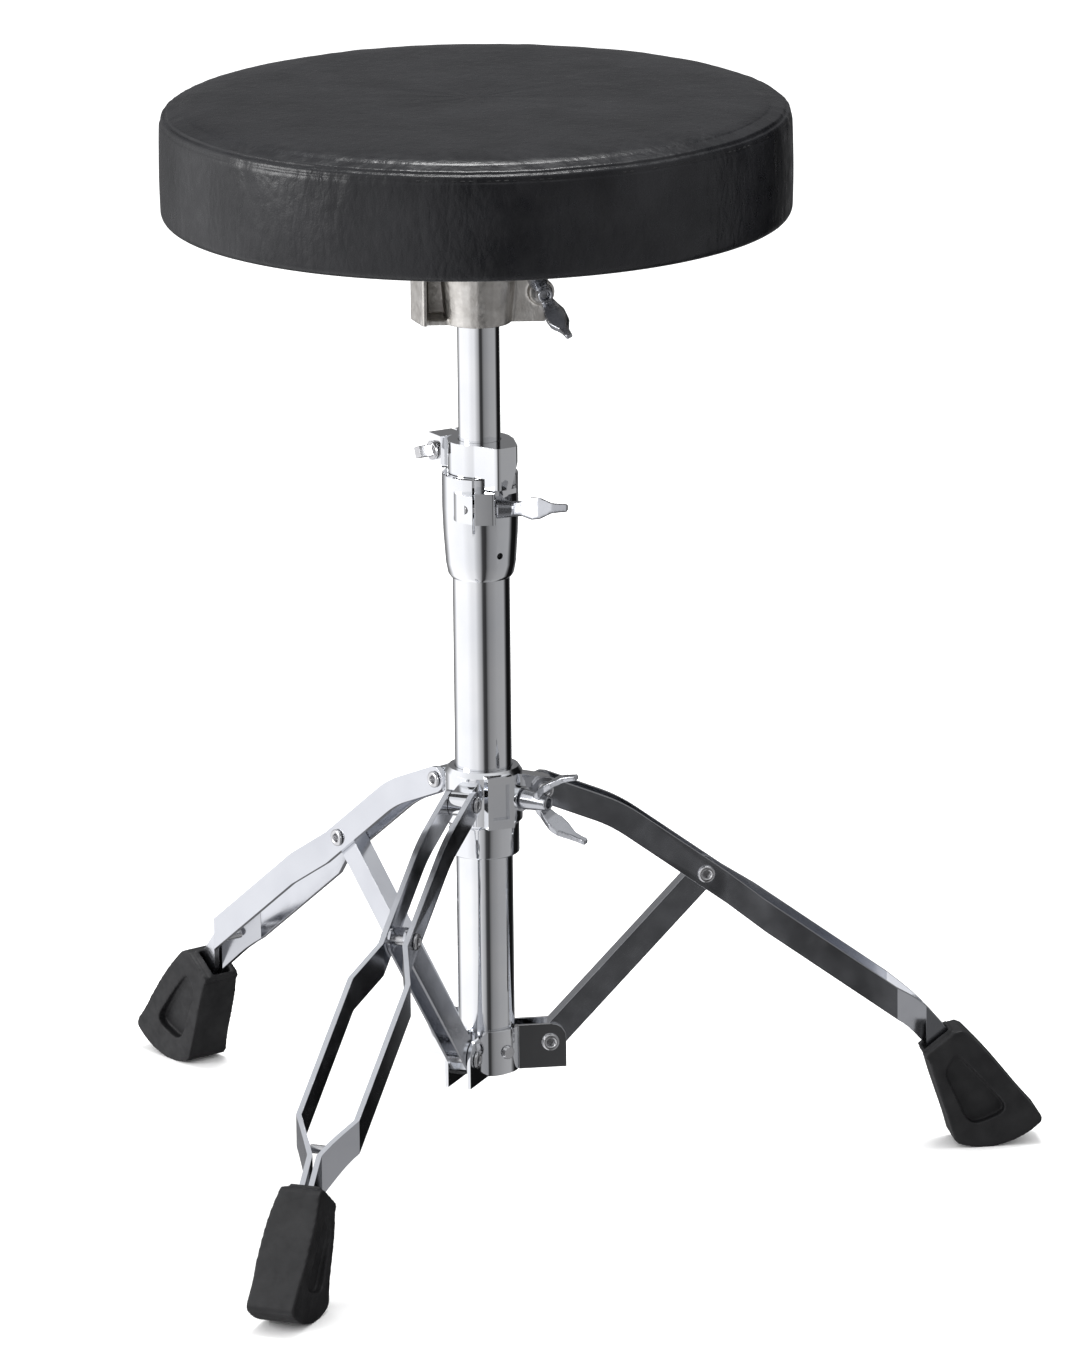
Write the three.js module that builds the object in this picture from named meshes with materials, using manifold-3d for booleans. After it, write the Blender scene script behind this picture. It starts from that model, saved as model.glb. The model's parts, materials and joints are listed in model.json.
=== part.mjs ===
// A round drum throne on a double-braced folding tripod: padded seat, cast seat bracket,
// telescoping post with memory lock and clamp joint, sliding leg collar, three legs, three stays.
// Millimetres, +Z up, standing on z = 0, origin under the centre of the whole object's box.
import * as THREE from 'three';
import { mergeVertices } from 'three/addons/utils/BufferGeometryUtils.js';
import Module from 'manifold-3d';

const wasm = await Module();
wasm.setup();

const RAD = Math.PI / 180;
const GAP = 0.3; // clearance kept between pieces that touch

// Number of flats on round pieces
const SEAT_SIDES = 40;
const TUBE_SIDES = 28;
const PIN_SIDES = 12;

// Seat
const SEAT_RADIUS = 165;
const SEAT_BOTTOM = 520;
const SEAT_TOP = 578;
const SEAT_EDGE_RADIUS = 16;
const COVER_THICKNESS = 1.5;
const HEM_INNER_RADIUS = 140;
const BOARD_THICKNESS = 12;
const BOARD_BOTTOM = SEAT_BOTTOM + COVER_THICKNESS + GAP;
const BOARD_TOP = BOARD_BOTTOM + BOARD_THICKNESS;
const INSIDE_RADIUS = SEAT_RADIUS - COVER_THICKNESS - GAP;

// Seat bracket and its screws
const BRACKET_BOTTOM = 461;
const PLATE_BOTTOM = 513.7;
const PLATE_TOP = 520.2;
const CHEEK_INNER = 26.5;
const CHEEK_OUTER = 35;
const CHEEK_SLANT = 19.4 * RAD; // lean of the left cheek's outer face
const BRACKET_BACK = 12;
const EAR_TOP = 497; // top of the two clamp ears at the right of the bracket
const SCREW_X = 38;
const SCREW_Y = 32;
const SCREW_HOLE_RADIUS = 3.1;
const SEAT_BOLT = { x: 33.5, y: -4, z: 477 }; // where the wing bolt's head meets the bracket
const SEAT_BOLT_ANGLE = -78 * RAD;
const CLAMP_SLIT = 1.6; // gap between the two ears the seat's wing bolt draws together

// Telescoping tubes
const POST_RADIUS = 11.1;
const POST_BOTTOM = 225;
const POST_TOP = 512.8;
const BASE_RADIUS = 15;
const BASE_BOTTOM = 57.2;
const BASE_TOP = 372;
const TUBE_WALL = 1.5;

// Clamp joint and memory lock on top of the base tube
const JOINT_BOTTOM = 325;
const JOINT_TOP = 381.2;
const JOINT_RADIUS = 20;
const LOCK_TOP = 398.5;
const TAB_BOTTOM = 376;
const CLAMP_BOLT_Y = -22;
const CLAMP_BOLT_Z = 366;
const CLAMP_NUT_X = 8.1;
const STUD_START = -8;
const LOCK_RADIUS = 17;
const EAR_DIRECTION = 120 * RAD; // side of the lock on which its clamp ears stand
const KEY_BOLT_RADIUS = 21.5;
const KEY_BOLT_REACH = 15.2;
const KEY_BOLT_Z = 390;

// Leg collar
const COLLAR_BOTTOM = 192.3;
const COLLAR_TOP = 222.3;
const COLLAR_RADIUS = 20.5;
const SLEEVE_BOTTOM = 175;
const SLEEVE_RADIUS = 18.6;
const WINDOW_ANGLE = -68; // degrees, like the bolt's
const COLLAR_BOLT_ANGLE = -37;
const COLLAR_BOLT_Z = 207.5;
const COLLAR_BOLT_REACH = 26.6;
const WING_NECK = 9; // length of hub before the wings spread
const WING_SHANK_RADIUS = 3.6;
const STUD_HOLE_RADIUS = 2.9;
const WING_HOLE_RADIUS = 4;
const TONGUE_RADIUS = 6.5;

// Pivots of one leg, in the leg's own upright plane (x outwards, z up)
const LEG_PIVOT = { x: 31.5, z: 208.9 };
const STAY_PIVOT = { x: 117, z: 158.4 };
const FOOT_PIVOT = { x: 33, z: 70 };

// Leg strips, stays and lower bracket
const STRIP_WIDTH = 14;
const STRIP_THICKNESS = 3;
const TONGUE_HALF = 5;
const STRIP_INNER = TONGUE_HALF + GAP;
const SPREAD_INNER = 14.5;
const TIP_INNER = 1;
const SPACER_HALF = 6.2;
const CRANK_START = 128; // the strips spread between these two distances from the post's axis
const CRANK_END = 147;
const PINCH_START = 218; // and close again between these two
const PINCH_END = 236;
const UPPER_SLOPE = -22; // slopes of a leg's three straight runs, in degrees
const MIDDLE_SLOPE = -36.5;
const LOWER_SLOPE = -50;
const STAY_WALL = 1.5;
const LOWER_BOTTOM = 56;
const LOWER_TOP = 80;
const EAR_INNER = TONGUE_HALF + GAP;
const EAR_THICKNESS = 2;
const EAR_REACH = 41.5;
const EAR_CORNER = 8;
const BRACKET_SCREW_Z = 68;
const BRACKET_SCREW_HOLE = 2.8;
const RIVET_RADIUS = 2.5;

// Rubber foot
const FOOT_ANGLE = LOWER_SLOPE * RAD;
const FOOT_START = { x: 244.4, z: 57 };
const FOOT_ARC = { x: 266, z: 45.3, r: 45.3 };
const FOOT_TOP_THICKNESS = 17;
const FOOT_SOLE_THICKNESS = 26;

// Layout about the post axis
const LEG_ANGLES = [270, 30, 150];
const LEG_NAMES = ['front', 'right', 'left'];
const HARDWARE_TURN = 22 * RAD; // the clamps face this far round from the front leg

const FINISHES = {
  vinyl: { color: 0x17181a, roughness: 0.42, metalness: 0 },
  foam: { color: 0xd9c98f, roughness: 0.95, metalness: 0 },
  board: { color: 0xb08a5a, roughness: 0.8, metalness: 0 },
  cloth: { color: 0x1b1b1c, roughness: 0.95, metalness: 0 },
  cast: { color: 0xa9a59c, roughness: 0.5, metalness: 1 },
  chrome: { color: 0xd8dade, roughness: 0.08, metalness: 1 },
  steel: { color: 0xb9bbbd, roughness: 0.25, metalness: 1 },
  nylon: { color: 0x222222, roughness: 0.5, metalness: 0 },
  rubber: { color: 0x1c1c1e, roughness: 0.75, metalness: 0 },
};

// ---------- solids ----------

function isFolded(a, b, c) {
  return a === b || b === c || c === a;
}

function signedVolume(positions, triangles) {
  const [a, b, c] = [new THREE.Vector3(), new THREE.Vector3(), new THREE.Vector3()];
  let volume = 0;
  for (let i = 0; i < triangles.length; i += 3) {
    a.fromArray(positions, 3 * triangles[i]);
    b.fromArray(positions, 3 * triangles[i + 1]);
    c.fromArray(positions, 3 * triangles[i + 2]);
    volume += a.dot(b.cross(c)) / 6;
  }
  return volume;
}

// Turns a closed three.js geometry into a solid whose faces point out.
function solid(geometry) {
  const bare = new THREE.BufferGeometry();
  bare.setAttribute('position', geometry.getAttribute('position'));
  bare.setIndex(geometry.index);
  const merged = mergeVertices(bare, 1e-3);
  const index = merged.index.array;
  const triangles = [];
  for (let i = 0; i < index.length; i += 3) {
    if (!isFolded(index[i], index[i + 1], index[i + 2])) {
      triangles.push(index[i], index[i + 1], index[i + 2]);
    }
  }
  const positions = merged.getAttribute('position').array;
  if (signedVolume(positions, triangles) < 0) triangles.reverse();
  const mesh = new wasm.Mesh({
    numProp: 3,
    vertProperties: Float32Array.from(positions),
    triVerts: Uint32Array.from(triangles),
  });
  return new wasm.Manifold(mesh);
}

function placed(geometry, turn, shift) {
  if (turn) geometry.applyMatrix4(new THREE.Matrix4().makeRotationFromEuler(new THREE.Euler(...turn)));
  if (shift) geometry.translate(...shift);
  return solid(geometry);
}

// Box between two corners.
function box(low, high) {
  const size = high.map((value, i) => value - low[i]);
  const middle = high.map((value, i) => (value + low[i]) / 2);
  return placed(new THREE.BoxGeometry(...size), null, middle);
}

// Upright cylinder from z0 to z1.
function rod(radius, z0, z1, sides = PIN_SIDES, x = 0, y = 0) {
  const geometry = new THREE.CylinderGeometry(radius, radius, z1 - z0, sides);
  return placed(geometry, [Math.PI / 2, 0, 0], [x, y, (z0 + z1) / 2]);
}

// Cylinder lying along Y at (x, z), from y0 to y1.
function pinAlongY(radius, y0, y1, x, z, sides = PIN_SIDES) {
  const geometry = new THREE.CylinderGeometry(radius, radius, y1 - y0, sides);
  return placed(geometry, null, [x, (y0 + y1) / 2, z]);
}

// Cylinder lying along X at (y, z), from x0 to x1.
function pinAlongX(radius, x0, x1, y, z, sides = PIN_SIDES) {
  const geometry = new THREE.CylinderGeometry(radius, radius, x1 - x0, sides);
  return placed(geometry, [0, 0, Math.PI / 2], [(x0 + x1) / 2, y, z]);
}

// Revolves [radius, z] points about the Z axis; rings close on themselves.
function turned(profile, sides, ring = false) {
  const points = profile.map(([r, z]) => new THREE.Vector2(r, z));
  if (ring) points.push(points[0].clone());
  return placed(new THREE.LatheGeometry(points, sides), [Math.PI / 2, 0, 0], null);
}

function tube(outer, inner, z0, z1, sides) {
  return turned([[inner, z0], [outer, z0], [outer, z1], [inner, z1]], sides, true);
}

function shapeOf(points) {
  return new THREE.Shape(points.map(([x, y]) => new THREE.Vector2(x, y)));
}

// Plan outline raised from z0 to z1.
function raised(shape, z0, z1, curveSegments = 4) {
  const geometry = new THREE.ExtrudeGeometry(shape, { depth: z1 - z0, bevelEnabled: false, curveSegments });
  return placed(geometry, null, [0, 0, z0]);
}

// Side outline in (x, z), thickened from y0 to y1.
function sideways(shape, y0, y1, curveSegments = 4) {
  const geometry = new THREE.ExtrudeGeometry(shape, { depth: y1 - y0, bevelEnabled: false, curveSegments });
  return placed(geometry, [Math.PI / 2, 0, 0], [0, y1, 0]);
}

function union(...solids) {
  return solids.reduce((sum, next) => sum.add(next));
}

function cut(body, ...tools) {
  return tools.reduce((rest, tool) => rest.subtract(tool), body);
}

// Points along a circular arc, in degrees.
function arc(cx, cy, r, from, to, steps) {
  const points = [];
  for (let i = 0; i <= steps; i += 1) {
    const angle = (from + ((to - from) * i) / steps) * RAD;
    points.push([cx + r * Math.cos(angle), cy + r * Math.sin(angle)]);
  }
  return points;
}

// Replaces each corner [x, y, r] of a closed outline by a curve that starts r before it.
function rounded(corners) {
  const shape = new THREE.Shape();
  corners.forEach(([x, y, r = 0], i) => {
    const here = new THREE.Vector2(x, y);
    const before = new THREE.Vector2(...corners.at(i - 1).slice(0, 2)).sub(here).setLength(r).add(here);
    const following = corners[(i + 1) % corners.length];
    const after = new THREE.Vector2(...following.slice(0, 2)).sub(here).setLength(r).add(here);
    if (i === 0) shape.moveTo(before.x, before.y);
    else shape.lineTo(before.x, before.y);
    if (r > 0) shape.quadraticCurveTo(x, y, after.x, after.y);
  });
  shape.closePath();
  return shape;
}

function piece(name, body, finish) {
  const { vertProperties, triVerts } = body.getMesh();
  const geometry = new THREE.BufferGeometry();
  geometry.setAttribute('position', new THREE.BufferAttribute(vertProperties, 3));
  geometry.setIndex(new THREE.BufferAttribute(triVerts, 1));
  geometry.computeVertexNormals();
  const material = new THREE.MeshStandardMaterial({ ...FINISHES[finish], flatShading: true });
  const mesh = new THREE.Mesh(geometry, material);
  mesh.name = name;
  return mesh;
}

// ---------- seat ----------

// Half section of the cover's outside (or inside, inset by its thickness).
function seatSection(inset) {
  const edge = SEAT_EDGE_RADIUS - inset;
  const rim = SEAT_RADIUS - SEAT_EDGE_RADIUS;
  return [
    [SEAT_RADIUS - inset - 1, SEAT_BOTTOM + inset],
    [SEAT_RADIUS - inset, SEAT_BOTTOM + inset + 1],
    ...arc(rim, SEAT_TOP - SEAT_EDGE_RADIUS, edge, 0, 90, 3),
    [0, SEAT_TOP - inset],
  ];
}

function seatCover() {
  const outside = [[HEM_INNER_RADIUS, SEAT_BOTTOM], ...seatSection(0)];
  const inside = [[HEM_INNER_RADIUS, SEAT_BOTTOM + COVER_THICKNESS], ...seatSection(COVER_THICKNESS)];
  return turned([...outside, ...inside.reverse(), outside[0]], SEAT_SIDES);
}

function seatFoam() {
  const edge = SEAT_EDGE_RADIUS - COVER_THICKNESS - GAP;
  const top = SEAT_TOP - COVER_THICKNESS - GAP;
  return turned([
    [0, BOARD_TOP + GAP],
    [INSIDE_RADIUS, BOARD_TOP + GAP],
    ...arc(INSIDE_RADIUS - edge, top - edge, edge, 0, 90, 3),
    [0, top],
  ], SEAT_SIDES);
}

function screwHoles(z0, z1) {
  const holes = [];
  for (const x of [-SCREW_X, SCREW_X]) {
    for (const y of [-SCREW_Y, SCREW_Y]) holes.push(rod(SCREW_HOLE_RADIUS, z0, z1, PIN_SIDES, x, y));
  }
  return holes;
}

function seatBoard() {
  const disc = rod(INSIDE_RADIUS - 2, BOARD_BOTTOM, BOARD_TOP, SEAT_SIDES);
  return cut(disc, ...screwHoles(SEAT_BOTTOM, SEAT_TOP));
}

function bottomCloth() {
  const disc = rod(HEM_INNER_RADIUS - 0.5, SEAT_BOTTOM + 0.6, SEAT_BOTTOM + COVER_THICKNESS, SEAT_SIDES);
  return cut(disc, ...screwHoles(SEAT_BOTTOM, SEAT_TOP));
}

// Cast bracket: plate under the board, tapered hub, rear web, two side cheeks, bolt boss.
function seatBracket() {
  const low = BRACKET_BOTTOM;
  const high = PLATE_BOTTOM + 1; // runs 1 mm into the plate
  const plateOutline = rounded([[-48, -42, 8], [48, -42, 8], [48, 42, 8], [-48, 42, 8]]);
  const plate = raised(plateOutline, PLATE_BOTTOM, PLATE_TOP);
  const hub = turned([[0, low], [17.5, low], [22, high], [0, high]], TUBE_SIDES);
  const web = box([-34, 8, low], [34, BRACKET_BACK, high]);
  const leftCheek = raised(shapeOf([
    [-CHEEK_INNER, -12], [-CHEEK_INNER, BRACKET_BACK], [-CHEEK_OUTER, BRACKET_BACK],
    [-CHEEK_OUTER, 6], [-CHEEK_INNER - 2, -12],
  ]), low, high);
  const rightEars = box([14, -2, low], [CHEEK_OUTER, BRACKET_BACK, EAR_TOP]);
  const rightWall = box([CHEEK_INNER, 3, EAR_TOP - 1], [CHEEK_OUTER, BRACKET_BACK, high]);
  const boss = seatBoltRod(6.9, GAP, 16.2, 20);
  const earSlit = box([8, 2, low - 1], [45, 2 + CLAMP_SLIT, EAR_TOP + CLAMP_SLIT]);
  const recessFloor = box([-30, -9, low], [-14, 9, low + 3]);
  const castingLine = placed(
    new THREE.BoxGeometry(2.6, 13, 1.4),
    [0, 0, CHEEK_SLANT],
    [-32.2, -1.6, 482.7],
  );
  const bore = rod(POST_RADIUS + GAP, low - 1, PLATE_BOTTOM - 0.5, TUBE_SIDES);
  const body = union(plate, hub, web, recessFloor, leftCheek, rightEars, rightWall, boss);
  const screwWay = seatBoltRod(WING_HOLE_RADIUS, -2, 19);
  return cut(body, bore, screwWay, earSlit, castingLine, ...screwHoles(500, 525));
}

// Cylinder on the wing bolt's axis, between two depths behind the bolt's head.
function seatBoltRod(radius, from, to, sides = PIN_SIDES) {
  const middle = (from + to) / 2;
  const geometry = new THREE.CylinderGeometry(radius, radius, to - from, sides);
  const x = SEAT_BOLT.x - middle * Math.cos(SEAT_BOLT_ANGLE);
  const y = SEAT_BOLT.y - middle * Math.sin(SEAT_BOLT_ANGLE);
  return placed(geometry, [0, 0, Math.PI / 2 + SEAT_BOLT_ANGLE], [x, y, SEAT_BOLT.z]);
}

function bracketScrew() {
  const face = PLATE_BOTTOM - GAP;
  return turned([
    [0, face - 2.7], [3.2, face - 2.7], [5.4, face - 1.4], [5.4, face],
    [2.8, face], [2.8, face + 16.6], [0, face + 18.1],
  ], PIN_SIDES);
}

// ---------- wing screws ----------

// Two leaves swept forwards from a hub about the Z axis, each widest halfway and ending in a finger.
function wingBlades(z0) {
  const right = [
    [1, -1], [5.5, 0], [10.5, 5], [15, 12.5], [18.3, 20], [20.2, 28], [17.6, 28.5],
    [15.5, 21], [12.2, 14.3], [7.8, 7.6], [3.5, 3.5],
  ];
  const left = right.map(([x, y]) => [-x, y]).reverse();
  const outline = [...right, [0, 3.2], ...left].map(([x, y]) => [x, y + z0]);
  const half = [[3.2, -2], [3.2, 3], [5.7, 9.5], [5.3, 14], [2.4, 20], [1.9, 25], [1.9, 27], [1.2, 29]];
  const leaf = [...half, ...half.map(([y, z]) => [-y, z]).reverse()].map(([y, z]) => [y, z + z0]);
  const across = new THREE.ExtrudeGeometry(shapeOf(leaf), { depth: 60, bevelEnabled: false });
  across.translate(0, 0, -30);
  across.rotateX(Math.PI / 2);
  across.rotateZ(Math.PI / 2);
  return sideways(shapeOf(outline), -8, 8).intersect(solid(across));
}

// Wing-headed screw: the head stands on z = 0 and the shank points to -Z.
function wingScrew(shankRadius, shankLength, neck) {
  const hub = turned([
    [0, 0], [5.4, 0], [5.6, 1], [4.5, neck + 2], [4.2, neck + 6.4], [3.6, neck + 7.2],
    [2.6, neck + 7.2], [2.6, neck + 3], [0, neck + 3],
  ], PIN_SIDES);
  return union(hub, wingBlades(neck), rod(shankRadius, -shankLength, 1));
}

// Wing nut with a slim hub, bored through for its stud.
function wingNut() {
  const hub = turned([
    [0, 0], [5, 0], [5.2, 1], [4.2, 9], [4, 14], [2.8, 15.6], [0, 15.8],
  ], PIN_SIDES);
  return union(hub, wingBlades(WING_NECK)).subtract(rod(STUD_HOLE_RADIUS, -1, 9));
}

// ---------- post, lock and joint ----------

function lobeOutline() {
  return rounded([[-15.5, -7, 2], [9, -25, 2.5], [20, -18.5, 2.5], [17.5, 3, 3], [0, 9, 3]]);
}

// Clamp ring with a corner lobe, a tab that drops into the joint, and a split pair of ears.
function memoryLock() {
  const z0 = JOINT_TOP + GAP;
  const ring = rod(LOCK_RADIUS, z0, LOCK_TOP, TUBE_SIDES);
  const lobe = raised(lobeOutline(), z0, LOCK_TOP);
  const tabSide = box([2.4, -30, TAB_BOTTOM], [30, -7.5, LOCK_TOP]);
  const tab = raised(lobeOutline(), TAB_BOTTOM, LOCK_TOP).intersect(tabSide);
  const turn = [0, 0, EAR_DIRECTION];
  const ears = placed(new THREE.BoxGeometry(13, 22, LOCK_TOP - z0), turn, [-14.1, 16.6, (z0 + LOCK_TOP) / 2]);
  const slit = placed(new THREE.BoxGeometry(26, 1.6, 40), turn, [-10, 17.3, KEY_BOLT_Z]);
  const slope = placed(new THREE.BoxGeometry(12, 60, 40), [0, 14 * RAD, 0], [26.4, -5, 392]);
  const body = union(ring, lobe, tab, ears);
  return cut(body, rod(POST_RADIUS + GAP, 360, 420, TUBE_SIDES), slit, slope, keyBoltHole());
}

function keyBoltHole() {
  const geometry = new THREE.CylinderGeometry(3.1, 3.1, 60, PIN_SIDES);
  return placed(geometry, [0, 0, EAR_DIRECTION], [
    KEY_BOLT_RADIUS * Math.cos(EAR_DIRECTION), KEY_BOLT_RADIUS * Math.sin(EAR_DIRECTION), KEY_BOLT_Z,
  ]);
}

// Square-headed screw along Z: flange at z = 0, head above, shank below.
function keyBolt() {
  const flange = rod(5, 0, 2, 16);
  const head = box([-3, -3, 1.5], [3, 3, 10]);
  return union(flange, head, rod(2.8, -24, 1));
}

function tubeJoint() {
  const bore = BASE_RADIUS + GAP;
  const shell = turned([
    [bore, JOINT_BOTTOM], [15.9, JOINT_BOTTOM], [17.3, 327], [18.4, 333], [19.5, 349],
    [JOINT_RADIUS, 363], [JOINT_RADIUS, JOINT_TOP - 0.6], [JOINT_RADIUS - 0.6, JOINT_TOP],
    [11.6, JOINT_TOP], [11.6, 375], [bore, 375],
  ], TUBE_SIDES, true);
  const ring = rod(JOINT_RADIUS + 4, JOINT_BOTTOM, JOINT_TOP, TUBE_SIDES);
  const blockOutline = rounded([[-4.2, -28, 1.5], [7.7, -28, 1.5], [7.7, -12], [-4.2, -12]]);
  const block = raised(blockOutline, 358.5, TAB_BOTTOM - 2 * GAP);
  const earOutline = rounded([[-14, -14], [-12.5, -20.5, 5], [-4.2, -26.5], [-4.2, -12]]);
  const ear = raised(earOutline, 358.5, 373.5);
  const shelf = rightShelf().intersect(ring);
  const lugs = cut(union(block, ear, shelf), rod(bore, JOINT_BOTTOM, JOINT_TOP, TUBE_SIDES));
  const slit = box([-4.2, -30, 352], [-3, -13, JOINT_TOP + 1]);
  const notch = box([2.1, -32, TAB_BOTTOM - GAP], [30, -7.2, JOINT_TOP + 1]);
  const boltHole = pinAlongX(STUD_HOLE_RADIUS, STUD_START - GAP, 9, CLAMP_BOLT_Y, CLAMP_BOLT_Z);
  const nutPocket = pinAlongX(5.9, 7.7, 26, CLAMP_BOLT_Y, CLAMP_BOLT_Z);
  const pinHole = placed(new THREE.CylinderGeometry(1.8, 1.8, 12, 12), [0, 0, 32 * RAD], [10.5, -16.8, 339]);
  return cut(union(shell, lugs), slit, notch, boltHole, nutPocket, pinHole);
}

// Short raised lip on the joint beside the block, under the lock's lobe.
function rightShelf() {
  return box([7, -23, 372.8], [19, -4, TAB_BOTTOM - 2 * GAP]);
}

function jointBushing() {
  return turned([
    [POST_RADIUS + GAP, 340], [13.2, 340], [13.2, BASE_TOP + GAP], [14.9, BASE_TOP + GAP],
    [14.9, 374.6], [POST_RADIUS + GAP, 374.6],
  ], TUBE_SIDES, true);
}

// Stud from the blind hole in the left ear, through the slit and the block, into the wing nut.
function clampBolt() {
  return turned([[0, STUD_START], [2.6, STUD_START], [2.6, 15], [2, 16], [0, 16]], PIN_SIDES);
}

function seatPost() {
  return tube(POST_RADIUS, POST_RADIUS - TUBE_WALL, POST_BOTTOM, POST_TOP, TUBE_SIDES);
}

function baseTube() {
  const body = tube(BASE_RADIUS, BASE_RADIUS - TUBE_WALL, BASE_BOTTOM, BASE_TOP, TUBE_SIDES);
  const holes = LEG_ANGLES.map((degrees) => (
    radialHole(BRACKET_SCREW_HOLE, 10, 20, degrees + 60, BRACKET_SCREW_Z)
  ));
  return cut(body, ...holes);
}

function radialHole(radius, from, to, degrees, z) {
  const middle = (from + to) / 2;
  const angle = degrees * RAD;
  const geometry = new THREE.CylinderGeometry(radius, radius, to - from, PIN_SIDES);
  const shift = [middle * Math.cos(angle), middle * Math.sin(angle), z];
  return placed(geometry, [0, 0, angle + Math.PI / 2], shift);
}

function basePlug() {
  return turned([
    [0, 54.7], [14.2, 54.7], [14.9, 55.4], [14.9, 56.9], [13.2, 56.9], [13.2, 64.5], [0, 64.5],
  ], TUBE_SIDES);
}

// ---------- leg collar ----------

// Rounded tongue that carries one leg's pivot.
function tongue(degrees) {
  const { x, z } = LEG_PIVOT;
  const outline = shapeOf([
    [17, z - 9], [x - 2, z - TONGUE_RADIUS],
    ...arc(x, z, TONGUE_RADIUS, -90, 90, 6),
    [x - 2, z + TONGUE_RADIUS], [17, z + 9],
  ]);
  const hole = pinAlongY(RIVET_RADIUS + GAP, -9, 9, x, z);
  const body = sideways(outline, -TONGUE_HALF, TONGUE_HALF).subtract(hole);
  return body.rotate([0, 0, degrees]);
}

function legCollar() {
  const bore = BASE_RADIUS + GAP;
  const shell = turned([
    [bore, COLLAR_BOTTOM], [19.4, COLLAR_BOTTOM], [COLLAR_RADIUS, 193.5], [COLLAR_RADIUS, 219.5],
    [SLEEVE_RADIUS, COLLAR_TOP], [bore, COLLAR_TOP],
  ], TUBE_SIDES, true);
  const turn = HARDWARE_TURN / RAD;
  const frame = box([15.8, -7.5, 193], [24.5, 7.5, 221]).rotate([0, 0, WINDOW_ANGLE + turn]);
  const recess = box([21.8, -4.6, 198], [26, 4.6, 217]).rotate([0, 0, WINDOW_ANGLE + turn]);
  const boltAngle = COLLAR_BOLT_ANGLE + turn;
  const boss = radialHole(6.8, 16, 26, boltAngle, COLLAR_BOLT_Z);
  const boltHole = radialHole(WING_HOLE_RADIUS, 12, 30, boltAngle, COLLAR_BOLT_Z);
  return cut(union(shell, frame, boss, ...LEG_ANGLES.map(tongue)), recess, boltHole);
}

function collarSleeve() {
  const bore = BASE_RADIUS + GAP;
  return tube(SLEEVE_RADIUS, bore, SLEEVE_BOTTOM, COLLAR_BOTTOM - GAP, TUBE_SIDES);
}

// ---------- legs and stays ----------

// Centre line of a leg, as [x, z, slope in degrees]: two gentle bends joined by straight runs.
function legLine() {
  const points = [];
  let x = LEG_PIVOT.x;
  let z = LEG_PIVOT.z;
  const run = (length, from, to, steps) => {
    for (let i = 1; i <= steps; i += 1) {
      const slope = (from + ((to - from) * (i - 0.5)) / steps) * RAD;
      x += (length / steps) * Math.cos(slope);
      z += (length / steps) * Math.sin(slope);
      points.push([x, z, from + ((to - from) * i) / steps]);
    }
  };
  points.push([x, z, UPPER_SLOPE]);
  run(30.7, UPPER_SLOPE, UPPER_SLOPE, 1);
  run(20.6, UPPER_SLOPE, MIDDLE_SLOPE, 5);
  run(179.1, MIDDLE_SLOPE, MIDDLE_SLOPE, 1);
  run(16, MIDDLE_SLOPE, LOWER_SLOPE, 3);
  run(20, LOWER_SLOPE, LOWER_SLOPE, 1);
  return points;
}

// Side view of a leg strip: the centre line given its width, with a round end at the pivot.
function stripOutline() {
  const half = STRIP_WIDTH / 2;
  const line = legLine();
  const edge = (side) => line.map(([x, z, slope]) => [
    x - side * half * Math.sin(slope * RAD), z + side * half * Math.cos(slope * RAD),
  ]);
  const end = arc(LEG_PIVOT.x, LEG_PIVOT.z, half, 90 + UPPER_SLOPE, 270 + UPPER_SLOPE, 6).slice(1, -1);
  return shapeOf([...edge(1).reverse(), ...end, ...edge(-1)]);
}

// Plan view of a strip: close to the leg's plane, then spread, then pinched to enter the foot.
function stripPlan() {
  const inner = [
    [20, STRIP_INNER], [CRANK_START, STRIP_INNER], [CRANK_END, SPREAD_INNER],
    [PINCH_START, SPREAD_INNER], [PINCH_END, TIP_INNER], [270, TIP_INNER],
  ];
  const outer = inner.map(([x, y]) => [x, y + STRIP_THICKNESS]).reverse();
  return shapeOf([...inner, ...outer]);
}

function legStrip(side) {
  const holes = [LEG_PIVOT, STAY_PIVOT].map(({ x, z }) => pinAlongY(RIVET_RADIUS + GAP, -30, 30, x, z));
  const strip = cut(raised(stripPlan(), 0, 260).intersect(sideways(stripOutline(), -30, 30)), ...holes);
  return side > 0 ? strip : strip.mirror([0, 1, 0]);
}

// Rivet across the leg's plane with a domed head outside each face.
function rivet(halfGrip, headRadius) {
  const face = halfGrip + GAP;
  const side = [[RIVET_RADIUS, face], [headRadius, face], [headRadius - 0.8, face + 1.6]];
  const mirrored = side.map(([r, z]) => [r, -z]).reverse();
  const body = turned([[0, -face - 1.6], ...mirrored, ...side, [0, face + 1.6]], PIN_SIDES);
  return body.rotate([90, 0, 0]);
}

function legSpacer() {
  const half = SPACER_HALF;
  return turned([[0, -half], [2.4, -half], [2.4, half], [0, half]], PIN_SIDES).rotate([90, 0, 0]);
}

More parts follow.
